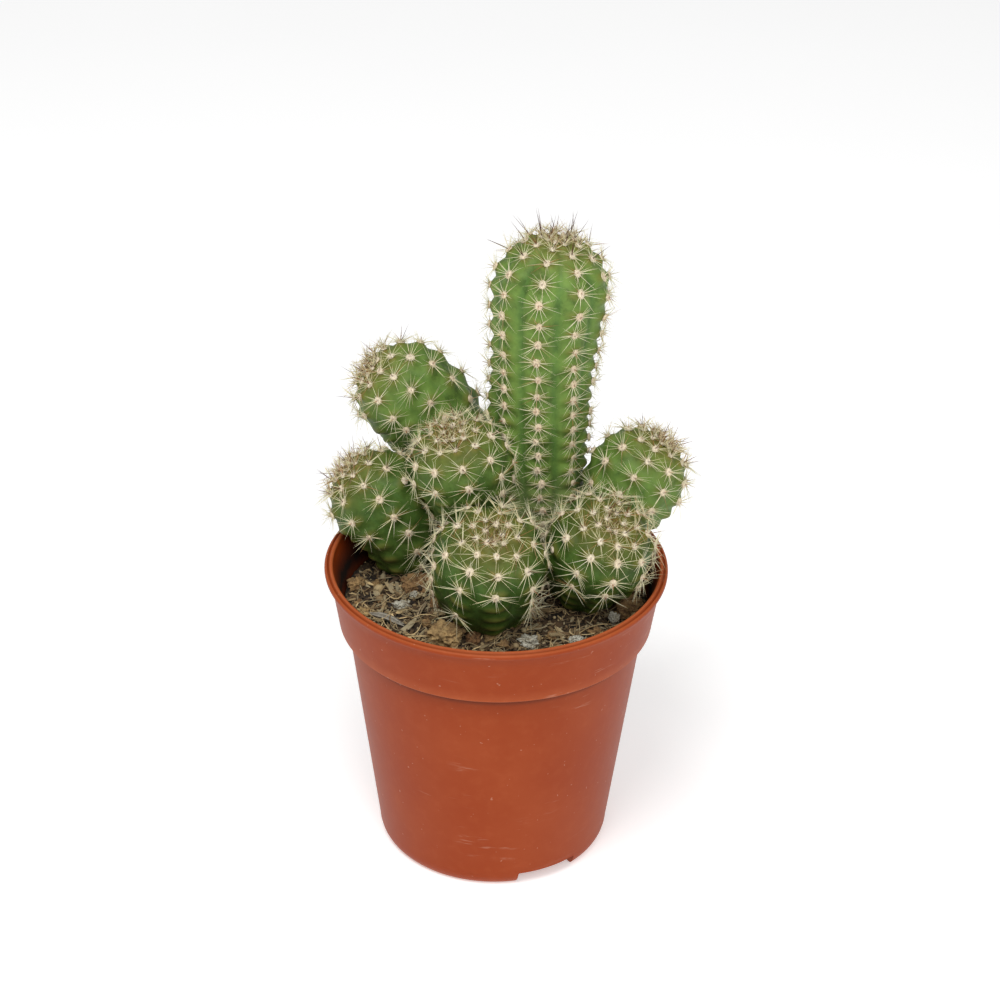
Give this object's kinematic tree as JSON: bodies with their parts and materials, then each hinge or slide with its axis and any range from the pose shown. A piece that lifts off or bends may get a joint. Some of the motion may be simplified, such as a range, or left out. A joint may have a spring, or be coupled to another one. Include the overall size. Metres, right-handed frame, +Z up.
{
  "type": "potted peanut cactus",
  "caption": "Small clump of short ribbed cactus stems growing in soil in a round tapered nursery pot with a plain collar, standing on its foot ring.",
  "frame": {"origin": "middle of the pot's underside, where the pot's axis meets the surface it stands on", "axes": "+Z up along the pot's axis; -Y is the front, the side where the short front stem stands; +X is to the right seen from the front"},
  "size_m": [0.0576, 0.0563, 0.1004],
  "materials": {
    "pot_plastic": "satin",
    "potting_soil": "matte",
    "cactus_skin": "satin",
    "bark": "matte",
    "perlite": "matte",
    "dry_wood": "matte"
  },
  "bodies": {
    "root": {"pot": "pot_plastic", "soil": "potting_soil", "main_stem": "cactus_skin", "back_left_stem": "cactus_skin", "left_stem": "cactus_skin", "middle_left_stem": "cactus_skin", "front_stem": "cactus_skin", "front_right_stem": "cactus_skin", "back_right_stem": "cactus_skin", "bark_chip_left": "bark", "bark_chip_front": "bark", "bark_chip_right": "bark", "perlite_grain_1": "perlite", "perlite_grain_2": "perlite", "perlite_grain_3": "perlite", "perlite_grain_4": "perlite", "perlite_grain_5": "perlite", "wood_splinter": "dry_wood", "straw_piece": "dry_wood"}
  },
  "joints": []
}
